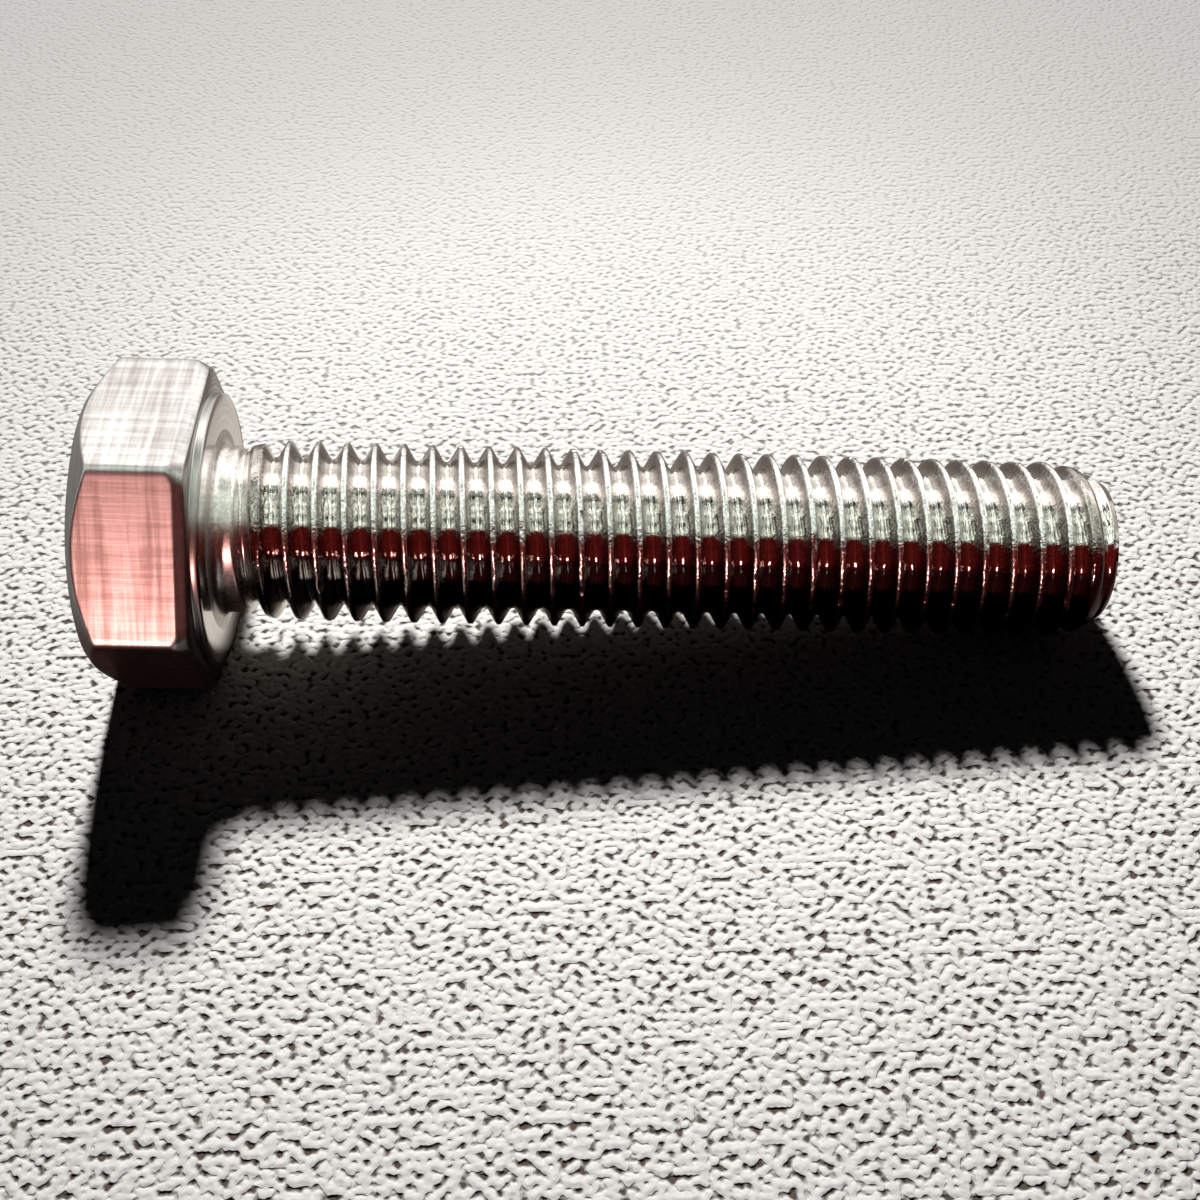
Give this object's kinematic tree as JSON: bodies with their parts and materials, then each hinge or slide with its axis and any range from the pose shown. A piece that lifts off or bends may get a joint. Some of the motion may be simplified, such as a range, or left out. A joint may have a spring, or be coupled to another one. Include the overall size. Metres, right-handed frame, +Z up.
{
  "type": "hex head set screw",
  "caption": "Hex head set screw in bright steel, threaded all the way up to its washer-faced head, lying on one flat and its thread.",
  "frame": {"origin": "on the table, under the middle of the box round the lying screw", "axes": "+X runs along the screw from the head towards the tip, +Z is up; the screw's own axis dips about 3.9 degrees towards the tip, because it lies on one flat of the head and on a crest near the tip"},
  "size_m": [0.045, 0.015, 0.0132],
  "materials": {
    "steel": "bright bare steel, rolled thread, fine drawn and ground marks on the flats"
  },
  "bodies": {
    "root": {"screw": "steel"}
  },
  "joints": []
}
